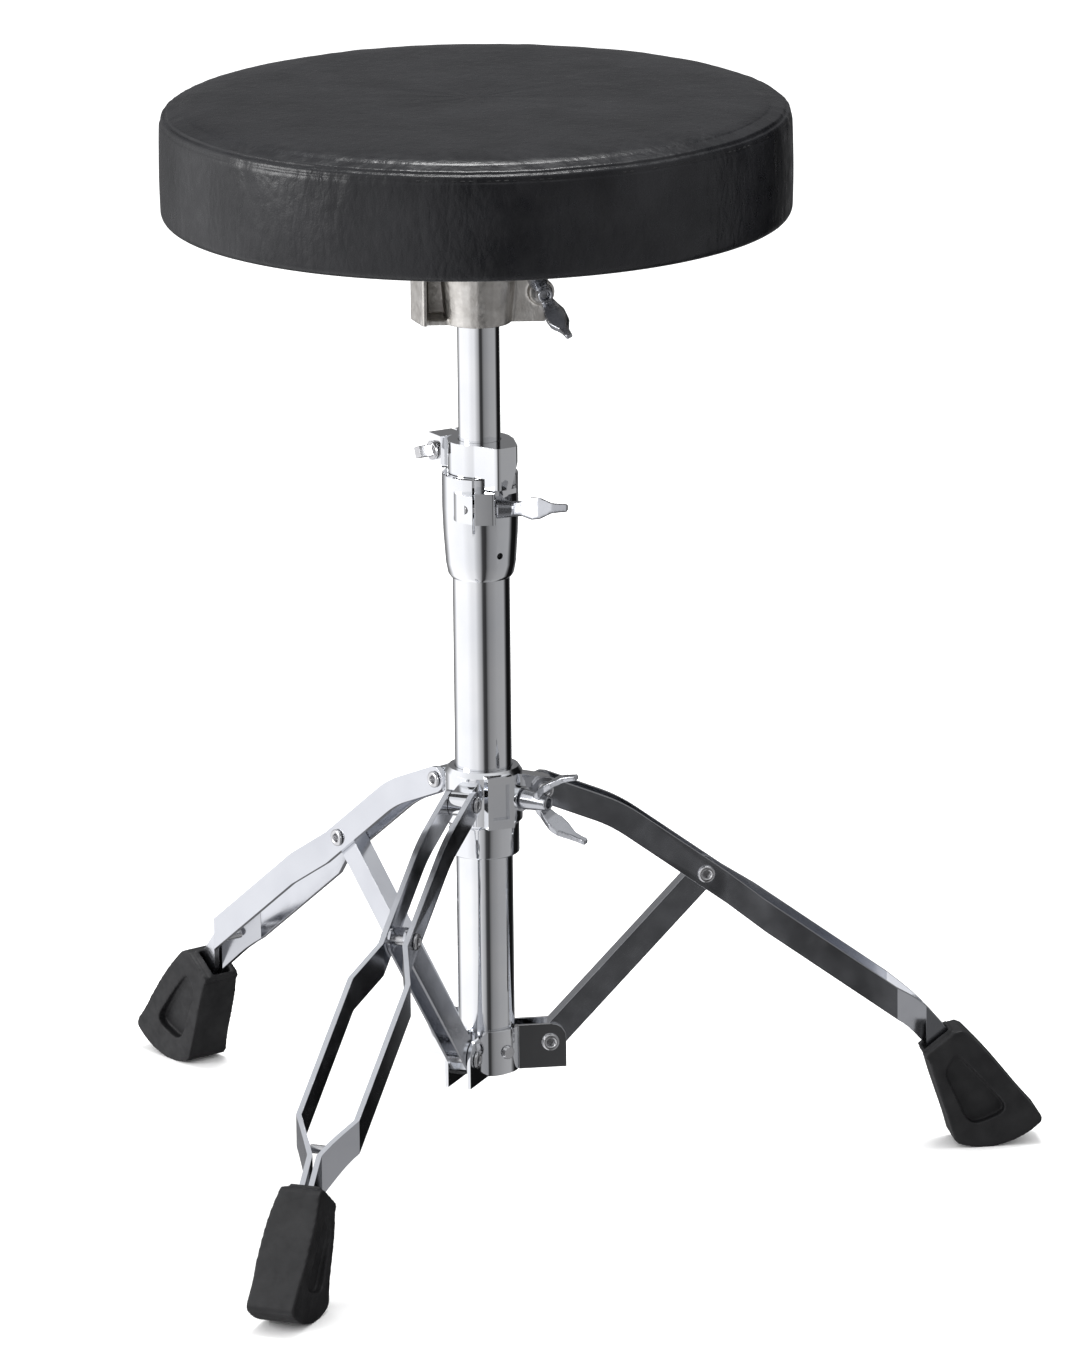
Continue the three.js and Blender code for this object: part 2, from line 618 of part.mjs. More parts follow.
// Stay: a channel with its web on the upper side, round ends, an oversize slot at the leg.
function stay() {
  const length = Math.hypot(STAY_PIVOT.x - FOOT_PIVOT.x, STAY_PIVOT.z - FOOT_PIVOT.z);
  const half = 7;
  const outline = shapeOf([...arc(length, 0, half, -90, 90, 6), ...arc(0, 0, half, 90, 270, 6)]);
  const inner = TONGUE_HALF - STAY_WALL;
  const hollow = sideways(shapeOf([
    [-20, -20], [length + 20, -20], [length + 20, half - STAY_WALL], [-20, half - STAY_WALL],
  ]), -inner, inner);
  const slot = sideways(rounded([
    [length - 6.2, -5.6, 4], [length + 6.2, -5.6, 4], [length + 6.2, 4.8, 4], [length - 6.2, 4.8, 4],
  ]), -9, 9, 3);
  const hole = pinAlongY(RIVET_RADIUS + GAP, -9, 9, 0, 0);
  return cut(sideways(outline, -TONGUE_HALF, TONGUE_HALF), hollow, slot, hole);
}

// ---------- lower bracket ----------

// Flat ear beside a stay, in the leg's plane: round upper corner, square lower corner.
function ear(side) {
  const corner = arc(EAR_REACH - EAR_CORNER, LOWER_TOP - EAR_CORNER, EAR_CORNER, 0, 90, 4);
  const outline = shapeOf([[16, LOWER_BOTTOM], [EAR_REACH, LOWER_BOTTOM], ...corner, [16, LOWER_TOP]]);
  const faces = [side * EAR_INNER, side * (EAR_INNER + EAR_THICKNESS)];
  const body = sideways(outline, Math.min(...faces), Math.max(...faces));
  return body.subtract(pinAlongY(RIVET_RADIUS + GAP, -12, 12, FOOT_PIVOT.x, FOOT_PIVOT.z));
}

// One pressed plate wraps a third of the tube, from one stay to the next.
function lowerPlate() {
  const inside = BASE_RADIUS + GAP;
  const outside = inside + EAR_THICKNESS;
  const start = Math.asin(EAR_INNER / outside) / RAD;
  const outerArc = arc(0, 0, outside, start, 120 - start, 7);
  const innerArc = arc(0, 0, inside, 120 - start, start, 7);
  const band = shapeOf([...outerArc, ...innerArc]);
  const wrap = raised(band, LOWER_BOTTOM, LOWER_TOP);
  const farEar = ear(-1).rotate([0, 0, 120]);
  const bore = rod(inside, LOWER_BOTTOM - 1, LOWER_TOP + 1, TUBE_SIDES);
  const body = union(wrap, ear(1).subtract(bore), farEar.subtract(bore));
  return cut(body, radialHole(BRACKET_SCREW_HOLE, 12, 22, 60, BRACKET_SCREW_Z));
}

// Pan-head screw along Z, head up; its shank passes the plate and the tube wall.
function plateScrew() {
  return turned([[0, -6], [2.5, -6], [2.5, 0], [3.9, 0], [3.2, 2.2], [0, 2.2]], PIN_SIDES);
}

// ---------- rubber foot ----------

// Side view: shoulders square to the leg's end, a straight outer edge, a flared inner edge and
// a round sole with a narrow flat land where it meets the floor.
function footOutline() {
  const { x, z, r } = FOOT_ARC;
  const sole = arc(x, z, r, -47, -84, 5);
  const heel = arc(x, z, r, -96, -108, 2);
  sole[sole.length - 1][1] = 0;
  heel[0][1] = 0;
  return shapeOf([
    [238, 49.6], [236.4, 51.6], [237.4, 54], [250, 64.4], [253.4, 65], [256.2, 63.6],
    [296.2, 17], [297.4, 14.6], ...sole, ...heel, [249.8, 4.4],
  ]);
}

function teardrop() {
  return rounded([[251, 53, 4], [280, 20, 8], [258, 11.5, 8], [245.5, 43, 4]]);
}

// Tapers the foot: thin at the shoulders, thick at the sole.
function footWedge() {
  const wedge = shapeOf([
    [-20, -FOOT_TOP_THICKNESS / 2], [2, -FOOT_TOP_THICKNESS / 2], [44, -FOOT_SOLE_THICKNESS / 2],
    [80, -FOOT_SOLE_THICKNESS / 2], [80, FOOT_SOLE_THICKNESS / 2], [44, FOOT_SOLE_THICKNESS / 2],
    [2, FOOT_TOP_THICKNESS / 2], [-20, FOOT_TOP_THICKNESS / 2],
  ]);
  return alongFoot(new THREE.ExtrudeGeometry(wedge, { depth: 100, bevelEnabled: false }), -50);
}

// Lays geometry drawn in (along, across y, upwards) on the foot's sloping line.
function alongFoot(geometry, lift = 0) {
  geometry.translate(0, 0, lift);
  return placed(geometry, [0, -FOOT_ANGLE, 0], [FOOT_START.x, 0, FOOT_START.z]);
}

function rubberFoot() {
  const body = sideways(footOutline(), -15, 15).intersect(footWedge());
  const neck = alongFoot(new THREE.BoxGeometry(9, 13, 17.6).translate(0.5, 0, 0));
  const socket = alongFoot(new THREE.BoxGeometry(24, 8.8, 14.8).translate(-5, 0, 0));
  const nearDent = sideways(teardrop(), -16, -8.2);
  const farDent = sideways(teardrop(), 8.2, 16);
  return cut(union(body, neck), socket, nearDent, farDent);
}

// ---------- assembly ----------

function group(parent, position = [0, 0, 0], rotation = [0, 0, 0]) {
  const child = new THREE.Group();
  child.position.set(...position);
  child.rotation.set(...rotation);
  parent.add(child);
  return child;
}

// A turned or bolted piece whose own Z axis is aimed along a level direction, then rolled.
function aimed(parent, mesh, position, direction, roll = 0) {
  const holder = group(parent, position, [0, 0, direction]);
  mesh.rotation.set(0, Math.PI / 2, 0);
  const roller = group(holder, [0, 0, 0], [roll, 0, 0]);
  roller.add(mesh);
}

function addSeat(stand) {
  const seat = group(stand, [0, 0, 0], [0, 0, HARDWARE_TURN]);
  seat.add(piece('seat_cover', seatCover(), 'vinyl'));
  seat.add(piece('seat_foam', seatFoam(), 'foam'));
  seat.add(piece('seat_board', seatBoard(), 'board'));
  seat.add(piece('seat_bottom_cloth', bottomCloth(), 'cloth'));
  seat.add(piece('seat_bracket', seatBracket(), 'cast'));
  const corners = [[1, 1], [-1, 1], [-1, -1], [1, -1]];
  corners.forEach(([x, y], i) => {
    const screw = piece(`bracket_screw_${i + 1}`, bracketScrew(), 'steel');
    screw.position.set(x * SCREW_X, y * SCREW_Y, 0);
    seat.add(screw);
  });
  const bolt = piece('seat_wing_bolt', wingScrew(WING_SHANK_RADIUS, 14.5, 1), 'chrome');
  aimed(seat, bolt, [SEAT_BOLT.x, SEAT_BOLT.y, SEAT_BOLT.z], SEAT_BOLT_ANGLE, 24 * RAD);
}

function addColumn(stand) {
  const column = group(stand, [0, 0, 0], [0, 0, HARDWARE_TURN]);
  column.add(piece('seat_post', seatPost(), 'chrome'));
  column.add(piece('memory_lock', memoryLock(), 'chrome'));
  const earX = KEY_BOLT_RADIUS * Math.cos(EAR_DIRECTION);
  const earY = KEY_BOLT_RADIUS * Math.sin(EAR_DIRECTION);
  const away = EAR_DIRECTION + Math.PI / 2;
  const head = [earX + KEY_BOLT_REACH * Math.cos(away), earY + KEY_BOLT_REACH * Math.sin(away), KEY_BOLT_Z];
  aimed(column, piece('memory_lock_key_bolt', keyBolt(), 'steel'), head, away, 20 * RAD);
  column.add(piece('tube_joint', tubeJoint(), 'chrome'));
  column.add(piece('joint_bushing', jointBushing(), 'nylon'));
  aimed(column, piece('height_clamp_bolt', clampBolt(), 'steel'), [0, CLAMP_BOLT_Y, CLAMP_BOLT_Z], 0);
  const nut = piece('height_wing_nut', wingNut(), 'chrome');
  aimed(column, nut, [CLAMP_NUT_X, CLAMP_BOLT_Y, CLAMP_BOLT_Z], 0, 75 * RAD);
}

function addBase(stand) {
  stand.add(piece('base_tube', baseTube(), 'chrome'));
  stand.add(piece('base_tube_plug', basePlug(), 'nylon'));
  LEG_ANGLES.forEach((degrees, i) => {
    const third = group(stand, [0, 0, 0], [0, 0, degrees * RAD]);
    third.add(piece(`lower_bracket_${i + 1}`, lowerPlate(), 'chrome'));
    const seatRadius = BASE_RADIUS + GAP + EAR_THICKNESS + 0.2;
    const spot = [seatRadius * Math.cos(60 * RAD), seatRadius * Math.sin(60 * RAD), BRACKET_SCREW_Z];
    aimed(third, piece(`lower_bracket_screw_${i + 1}`, plateScrew(), 'steel'), spot, 60 * RAD);
    const pin = piece(`lower_pivot_${LEG_NAMES[i]}`, rivet(TONGUE_HALF + GAP + EAR_THICKNESS, 4.6), 'steel');
    pin.position.set(FOOT_PIVOT.x, 0, FOOT_PIVOT.z);
    third.add(pin);
  });
}

function addCollar(stand) {
  stand.add(piece('leg_collar', legCollar(), 'chrome'));
  stand.add(piece('collar_sleeve', collarSleeve(), 'chrome'));
  const angle = COLLAR_BOLT_ANGLE * RAD + HARDWARE_TURN;
  const bolt = piece('collar_wing_bolt', wingScrew(WING_SHANK_RADIUS, 10.6, WING_NECK), 'chrome');
  const x = COLLAR_BOLT_REACH * Math.cos(angle);
  const y = COLLAR_BOLT_REACH * Math.sin(angle);
  aimed(stand, bolt, [x, y, COLLAR_BOLT_Z], angle, 12 * RAD);
}

function addLeg(stand, degrees, name) {
  const leg = group(stand, [0, 0, 0], [0, 0, degrees * RAD]);
  leg.add(piece(`leg_strip_${name}_a`, legStrip(1), 'chrome'));
  leg.add(piece(`leg_strip_${name}_b`, legStrip(-1), 'chrome'));
  const grip = STRIP_INNER + STRIP_THICKNESS;
  const upper = piece(`leg_pivot_${name}`, rivet(grip, 4.4), 'steel');
  upper.position.set(LEG_PIVOT.x, 0, LEG_PIVOT.z);
  const middle = piece(`stay_pivot_${name}`, rivet(grip, 4.6), 'steel');
  middle.position.set(STAY_PIVOT.x, 0, STAY_PIVOT.z);
  const spacer = piece(`leg_spacer_${name}`, legSpacer(), 'steel');
  const spot = spacerPlace();
  spacer.position.set(spot.x, 0, spot.z);
  const brace = piece(`stay_${name}`, stay(), 'chrome');
  brace.position.set(FOOT_PIVOT.x, 0, FOOT_PIVOT.z);
  brace.rotation.set(0, -Math.atan2(STAY_PIVOT.z - FOOT_PIVOT.z, STAY_PIVOT.x - FOOT_PIVOT.x), 0);
  leg.add(upper, middle, spacer, brace, piece(`rubber_foot_${name}`, rubberFoot(), 'rubber'));
}

// The spacer sits on the leg's centre line, where the strips close towards the foot.
function spacerPlace() {
  const x = PINCH_START + 8;
  const line = legLine();
  const next = line.findIndex((point) => point[0] > x);
  const [x0, z0] = line[next - 1];
  const [x1, z1] = line[next];
  return { x, z: z0 + (z1 - z0) * (x - x0) / (x1 - x0) };
}

const throne = new THREE.Group();
const stand = group(throne);
addSeat(stand);
addColumn(stand);
addBase(stand);
addCollar(stand);
LEG_ANGLES.forEach((degrees, i) => addLeg(stand, degrees, LEG_NAMES[i]));
const bounds = new THREE.Box3().setFromObject(stand, true);
stand.position.set(-(bounds.min.x + bounds.max.x) / 2, -(bounds.min.y + bounds.max.y) / 2, 0);

export default throne;
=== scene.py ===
"""Drum throne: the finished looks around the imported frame. Blender units are metres; sizes below are mm."""
import json
import math

import bmesh
import bpy
from mathutils import Matrix, Vector, noise

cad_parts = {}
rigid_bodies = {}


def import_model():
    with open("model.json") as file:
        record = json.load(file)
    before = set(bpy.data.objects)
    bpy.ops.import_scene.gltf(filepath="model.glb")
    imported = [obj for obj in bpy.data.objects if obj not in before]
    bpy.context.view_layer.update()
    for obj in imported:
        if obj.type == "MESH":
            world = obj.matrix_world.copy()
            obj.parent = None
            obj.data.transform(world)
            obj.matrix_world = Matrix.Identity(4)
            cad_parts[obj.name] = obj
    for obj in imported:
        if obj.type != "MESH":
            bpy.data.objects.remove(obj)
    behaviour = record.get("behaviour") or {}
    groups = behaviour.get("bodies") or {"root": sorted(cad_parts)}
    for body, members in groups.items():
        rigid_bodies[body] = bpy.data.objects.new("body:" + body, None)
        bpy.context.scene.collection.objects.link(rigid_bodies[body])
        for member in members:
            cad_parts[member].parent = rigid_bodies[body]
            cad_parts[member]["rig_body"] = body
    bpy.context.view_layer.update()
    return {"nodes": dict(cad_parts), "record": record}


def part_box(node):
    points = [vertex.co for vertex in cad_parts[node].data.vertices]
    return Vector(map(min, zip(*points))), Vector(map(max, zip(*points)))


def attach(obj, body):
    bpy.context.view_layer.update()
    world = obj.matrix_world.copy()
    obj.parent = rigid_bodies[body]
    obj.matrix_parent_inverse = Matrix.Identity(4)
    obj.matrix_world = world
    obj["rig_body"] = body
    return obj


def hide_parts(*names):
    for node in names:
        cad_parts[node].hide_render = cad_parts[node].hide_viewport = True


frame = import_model()
MM = 0.001
NODES = frame["nodes"]
LEGS = ("front", "right", "left")
PHOTO_TURN = math.radians(22)  # the picture is taken from this far round the post


def centre_of(node):
    low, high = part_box(node)
    return (low + high) / 2


def size_of(node):
    low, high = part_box(node)
    return high - low


AXIS = centre_of("seat_post")
AXIS.z = 0
LEG_TURN = {}
for leg in LEGS:
    out = centre_of("rubber_foot_" + leg) - AXIS
    LEG_TURN[leg] = math.atan2(out.y, out.x)


# ---------------------------------------------------------------- places

def about_post(turn=0.0):
    """Frame on the floor under the post, in metres, turned about it."""
    return Matrix.Translation(AXIS) @ Matrix.Rotation(turn, 4, "Z")


# ---------------------------------------------------------------- meshes

def new_object(name, data):
    obj = bpy.data.objects.new(name, data)
    bpy.context.scene.collection.objects.link(obj)
    return obj


def mesh_from(name, bm, smooth=True):
    bmesh.ops.recalc_face_normals(bm, faces=bm.faces)
    mesh = bpy.data.meshes.new(name)
    bm.to_mesh(mesh)
    bm.free()
    for face in mesh.polygons:
        face.use_smooth = smooth
    return mesh


def lathe_into(bm, profile, sides=64, matrix=Matrix.Identity(4)):
    """Revolves [radius, z] in mm about Z. Ends on the axis close by themselves."""
    rings = []
    for radius, z in profile:
        if radius < 1e-6:
            rings.append([bm.verts.new(matrix @ Vector((0, 0, z * MM)))])
            continue
        ring = []
        for i in range(sides):
            a = math.tau * i / sides
            spot = Vector((radius * math.cos(a), radius * math.sin(a), z)) * MM
            ring.append(bm.verts.new(matrix @ spot))
        rings.append(ring)
    for one, two in zip(rings, rings[1:]):
        for i in range(sides):
            j = (i + 1) % sides
            if len(one) == 1 and len(two) > 1:
                bm.faces.new((one[0], two[i], two[j]))
            elif len(two) == 1 and len(one) > 1:
                bm.faces.new((one[i], two[0], one[j]))
            elif len(one) > 1:
                bm.faces.new((one[i], two[i], two[j], one[j]))


def prism_into(bm, outline, low, high, matrix=Matrix.Identity(4)):
    """Raises an outline of [x, y] in mm from low to high."""
    bottom = [bm.verts.new(matrix @ (Vector((x, y, low)) * MM)) for x, y in outline]
    top = [bm.verts.new(matrix @ (Vector((x, y, high)) * MM)) for x, y in outline]
    bm.faces.new(bottom[::-1])
    bm.faces.new(top)
    for i in range(len(outline)):
        j = (i + 1) % len(outline)
        bm.faces.new((bottom[i], bottom[j], top[j], top[i]))


def rounded_rim(radius, z, edge, steps=4, inward=-1, up=1):
    """Quarter-round between a wall of that radius and a flat end at z, wall first."""
    points = []
    for i in range(steps + 1):
        a = math.pi / 2 * i / steps
        points.append((
            radius + inward * edge * (1 - math.cos(a)), z - up * edge * (1 - math.sin(a)),
        ))
    return points


def apply_modifiers(obj):
    bpy.context.view_layer.update()
    graph = bpy.context.evaluated_depsgraph_get()
    mesh = bpy.data.meshes.new_from_object(obj.evaluated_get(graph))
    obj.modifiers.clear()
    obj.data = mesh


def copy_of(node, name):
    """The CAD node's own shape as a clean mesh: welded, flat faces whole."""
    bm = bmesh.new()
    bm.from_mesh(NODES[node].data)
    bmesh.ops.remove_doubles(bm, verts=bm.verts, dist=2e-6)
    bmesh.ops.dissolve_limit(bm, angle_limit=math.radians(0.7), verts=bm.verts, edges=bm.edges)
    return new_object(name, mesh_from(name, bm))


def bevelled(obj, width, segments=2, angle=33):
    """Small rounded edges, with faces kept flat in shading."""
    bevel = obj.modifiers.new("edges", "BEVEL")
    bevel.width = width * MM
    bevel.segments = segments
    bevel.limit_method = "ANGLE"
    bevel.angle_limit = math.radians(angle)
    bevel.miter_outer = "MITER_ARC"
    normals = obj.modifiers.new("normals", "WEIGHTED_NORMAL")
    normals.weight = 60
    apply_modifiers(obj)
    for face in obj.data.polygons:
        face.use_smooth = True


def softened(obj, voxel, rounds=6, factor=0.5):
    """Remeshes a moulded or cast piece so that all its edges are softly rounded."""
    remesh = obj.modifiers.new("skin", "REMESH")
    remesh.mode = "VOXEL"
    remesh.voxel_size = voxel * MM
    smooth = obj.modifiers.new("soft", "SMOOTH")
    smooth.factor = factor
    smooth.iterations = rounds
    apply_modifiers(obj)
    for face in obj.data.polygons:
        face.use_smooth = True


def finish_piece(obj, material, slot, body, *nodes):
    obj.data.materials.clear()
    obj.data.materials.append(material)
    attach(obj, body)
    if nodes:
        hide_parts(*nodes)
    return obj


# ---------------------------------------------------------------- materials

class Look:
    """Small helper that builds one material's nodes."""

    def __init__(self, name, colour, roughness, metallic=0.0):
        self.material = bpy.data.materials.new(name)
        self.material.use_nodes = True
        self.nodes = self.material.node_tree.nodes
        self.links = self.material.node_tree.links
        self.shader = self.nodes["Principled BSDF"]
        self.shader.inputs["Base Color"].default_value = (*colour, 1)
        self.shader.inputs["Roughness"].default_value = roughness
        self.shader.inputs["Metallic"].default_value = metallic
        self.coords = self.add("ShaderNodeTexCoord").outputs["Object"]
        self.height = None

    def add(self, kind, **inputs):
        node = self.nodes.new(kind)
        for key, value in inputs.items():
            node.inputs[key.replace("_", " ")].default_value = value
        return node

    def noise(self, scale, detail=3.0, stretch=None):
        node = self.add("ShaderNodeTexNoise", Scale=scale, Detail=detail)
        self.links.new(self.stretched(stretch), node.inputs["Vector"])
        return node.outputs["Fac"]

    def cells(self, scale, feature="F1", stretch=None):
        node = self.add("ShaderNodeTexVoronoi", Scale=scale)
        node.feature = feature
        self.links.new(self.stretched(stretch), node.inputs["Vector"])
        return node.outputs["Distance"]

    def stretched(self, stretch):
        if stretch is None:
            return self.coords
        mapping = self.add("ShaderNodeMapping", Scale=stretch)
        self.links.new(self.coords, mapping.inputs["Vector"])
        return mapping.outputs["Vector"]

    def ranged(self, source, low, high, start=0.3, end=0.7):
        node = self.add("ShaderNodeMapRange")
        for key, value in zip(("From Min", "From Max", "To Min", "To Max"), (start, end, low, high)):
            node.inputs[key].default_value = value
        self.links.new(source, node.inputs["Value"])
        return node.outputs["Result"]

    def colour_between(self, source, one, two, start=0.3, end=0.7):
        ramp = self.add("ShaderNodeValToRGB")
        ramp.color_ramp.elements[0].position = start
        ramp.color_ramp.elements[1].position = end
        ramp.color_ramp.elements[0].color = (*one, 1)
        ramp.color_ramp.elements[1].color = (*two, 1)
        self.links.new(source, ramp.inputs["Fac"])
        self.links.new(ramp.outputs["Color"], self.shader.inputs["Base Color"])

    def rough(self, source, low, high, start=0.3, end=0.7):
        self.links.new(self.ranged(source, low, high, start, end), self.shader.inputs["Roughness"])

    def bump(self, source, strength, distance):
        """Adds relief of that depth in mm; calls stack."""
        node = self.add("ShaderNodeBump", Strength=strength, Distance=distance * MM)
        self.links.new(source, node.inputs["Height"])
        if self.height is not None:
            self.links.new(self.height, node.inputs["Normal"])
        self.height = node.outputs["Normal"]
        self.links.new(self.height, self.shader.inputs["Normal"])


def chrome_look():
    look = Look("chrome", (0.8, 0.81, 0.83), 0.05, 1.0)
    look.colour_between(look.noise(35), (0.77, 0.785, 0.81), (0.84, 0.845, 0.855))
    look.rough(look.noise(60, 4), 0.03, 0.09)
    look.bump(look.noise(90, 2), 0.12, 0.05)
    look.bump(look.noise(1400, 2, (1, 1, 0.06)), 0.05, 0.01)
    return look.material


def plated_look(name, shade, low, high):
    """Plating left a little duller and greyer than the polished tubes."""
    look = Look(name, (shade, shade * 1.02, shade * 1.08), (low + high) / 2, 1.0)
    dark, light = shade * 0.96, shade * 1.06
    look.colour_between(
        look.noise(30), (dark, dark * 1.02, dark * 1.08), (light, light * 1.02, light * 1.07),
    )
    look.rough(look.noise(80, 4), low, high)
    look.bump(look.noise(70, 3), 0.15, 0.08)
    return look.material


def steel_look():
    look = Look("steel", (0.62, 0.62, 0.63), 0.25, 1.0)
    look.colour_between(look.noise(120), (0.52, 0.52, 0.53), (0.68, 0.68, 0.69))
    look.rough(look.noise(300, 4), 0.16, 0.34)
    look.bump(look.noise(1500, 2), 0.2, 0.02)
    return look.material


def cast_look():
    look = Look("cast_metal", (0.55, 0.53, 0.5), 0.45, 1.0)
    look.colour_between(look.noise(160, 5), (0.5, 0.48, 0.45), (0.7, 0.68, 0.65))
    look.rough(look.noise(420, 4), 0.32, 0.52)
    look.bump(look.noise(900, 4), 0.55, 0.16)
    look.bump(look.noise(240, 3), 0.4, 0.3)
    return look.material


def vinyl_look():
    look = Look("vinyl", (0.012, 0.0125, 0.014), 0.34)
    look.shader.inputs["Specular IOR Level"].default_value = 0.34
    look.colour_between(look.noise(24, 5), (0.004, 0.0042, 0.0055), (0.011, 0.0112, 0.013))
    look.rough(look.noise(150, 5), 0.24, 0.4)
    look.bump(look.cells(560, "DISTANCE_TO_EDGE"), 0.4, 0.14)
    look.bump(look.noise(1400, 3), 0.25, 0.08)
    look.bump(look.cells(190, "DISTANCE_TO_EDGE", (1, 1, 0.55)), 0.5, 0.5)
    look.bump(look.noise(95, 6, (1, 1, 0.4)), 0.8, 1.0)
    return look.material


def rubber_look():
    look = Look("rubber", (0.008, 0.008, 0.009), 0.6)
    look.shader.inputs["Specular IOR Level"].default_value = 0.35
    look.colour_between(look.noise(90, 4), (0.005, 0.005, 0.006), (0.011, 0.011, 0.012))
    look.rough(look.noise(220, 4), 0.5, 0.68)
    look.bump(look.noise(1300, 3), 0.3, 0.06)
    return look.material


def plastic_look():
    look = Look("nylon", (0.03, 0.03, 0.03), 0.5)
    look.colour_between(look.noise(70), (0.025, 0.025, 0.026), (0.04, 0.04, 0.041))
    look.rough(look.noise(300), 0.42, 0.58)
    look.bump(look.noise(1100), 0.2, 0.05)
    return look.material


def cloth_look():
    look = Look("bottom_cloth", (0.02, 0.02, 0.02), 0.95)
    look.shader.inputs["Sheen Weight"].default_value = 0.2
    look.colour_between(look.noise(500, 4), (0.012, 0.012, 0.012), (0.032, 0.032, 0.033))
    look.bump(look.cells(900), 0.6, 0.25)
    return look.material


def thread_look():
    look = Look("thread", (0.012, 0.012, 0.014), 0.6)
    look.colour_between(look.noise(900), (0.009, 0.009, 0.01), (0.02, 0.02, 0.022))
    look.bump(look.noise(4000), 0.5, 0.05)
    return look.material


def foam_look():
    look = Look("foam", (0.7, 0.6, 0.38), 0.95)
    look.colour_between(look.noise(60), (0.66, 0.56, 0.34), (0.76, 0.67, 0.45))
    look.bump(look.cells(900), 0.7, 0.4)
    return look.material


def wood_look():
    look = Look("board", (0.5, 0.36, 0.2), 0.8)
    look.colour_between(look.noise(90, 5, (0.15, 1, 1)), (0.42, 0.29, 0.16), (0.62, 0.46, 0.28))
    look.bump(look.noise(500, 3, (0.1, 1, 1)), 0.4, 0.2)
    return look.material


CHROME = chrome_look()
STRIP = plated_look("plated_strip", 0.62, 0.13, 0.22)
WING = plated_look("plated_wing", 0.47, 0.2, 0.3)
STEEL = steel_look()
CAST = cast_look()
VINYL = vinyl_look()
RUBBER = rubber_look()
NYLON = plastic_look()
CLOTH = cloth_look()
THREAD = thread_look()
FOAM = foam_look()
BOARD = wood_look()
BY_SLOT = {
    "vinyl": VINYL, "foam": FOAM, "board": BOARD, "bottom_cloth": CLOTH, "cast_metal": CAST,
    "chrome": CHROME, "steel": STEEL, "nylon": NYLON, "rubber": RUBBER,
}
SLOT_OF = {s["node"]: s["material_slot"] for s in frame["record"]["subparts"]}
BODY_OF = {n: NODES[n]["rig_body"] for n in NODES}


def look_of(node):
    """A node's material; strips, stays and wings are plated duller than the tubes."""
    if SLOT_OF[node] == "chrome" and node.startswith(("leg_strip", "stay_")):
        return STRIP
    if "_wing_" in node:
        return WING
    return BY_SLOT[SLOT_OF[node]]


def dress(obj, node, *more):
    """Gives a new piece its node's material and body, and hides the node."""
    slot = SLOT_OF[node]
    return finish_piece(obj, look_of(node), slot, BODY_OF[node], node, *more)


# ---------------------------------------------------------------- camera and light

LENS_FACTOR = 10045 / 1350  # focal length over the picture's long side
CAMERA_BACK = 5.092
CAMERA_HEIGHT = 1.632
CAMERA_PITCH = math.radians(14.97)
CAMERA_ROLL = math.radians(-0.61)
CAMERA_YAW = math.radians(0.34)
SENSOR = 36


def make_camera():
    data = bpy.data.cameras.new("camera")
    data.sensor_width = SENSOR
    data.lens = LENS_FACTOR * SENSOR
    data.clip_end = 200
    camera = new_object("camera", data)
    forward = Vector((
        math.sin(CAMERA_YAW) * math.cos(CAMERA_PITCH), math.cos(CAMERA_YAW) * math.cos(CAMERA_PITCH),
        -math.sin(CAMERA_PITCH),
    ))
    right = Vector((math.cos(CAMERA_YAW), -math.sin(CAMERA_YAW), 0))
    up = right.cross(forward)
    c, s = math.cos(CAMERA_ROLL), math.sin(CAMERA_ROLL)
    right, up = c * right + s * up, c * up - s * right
    turn = Matrix((
        (right.x, up.x, -forward.x, 0), (right.y, up.y, -forward.y, -CAMERA_BACK),
        (right.z, up.z, -forward.z, CAMERA_HEIGHT), (0, 0, 0, 1),
    ))
    camera.matrix_world = about_post(PHOTO_TURN) @ turn
    bpy.context.scene.camera = camera


# Studio walls as seen by shiny metal: (degrees round from the camera, to its right; brightness)
WALLS = (
    (-180, 0.19), (-150, 0.24), (-134, 0.6), (-120, 1.25), (-60, 1.2), (-40, 1.0), (-24, 0.95), (-12, 0.62),
    (-2, 0.42), (5, 0.06), (16, 0.035), (22, 0.18), (30, 0.27), (60, 0.38), (98, 0.42), (106, 0.14),
    (114, 0.008), (140, 0.006), (148, 0.06), (160, 0.18), (180, 0.19),
)


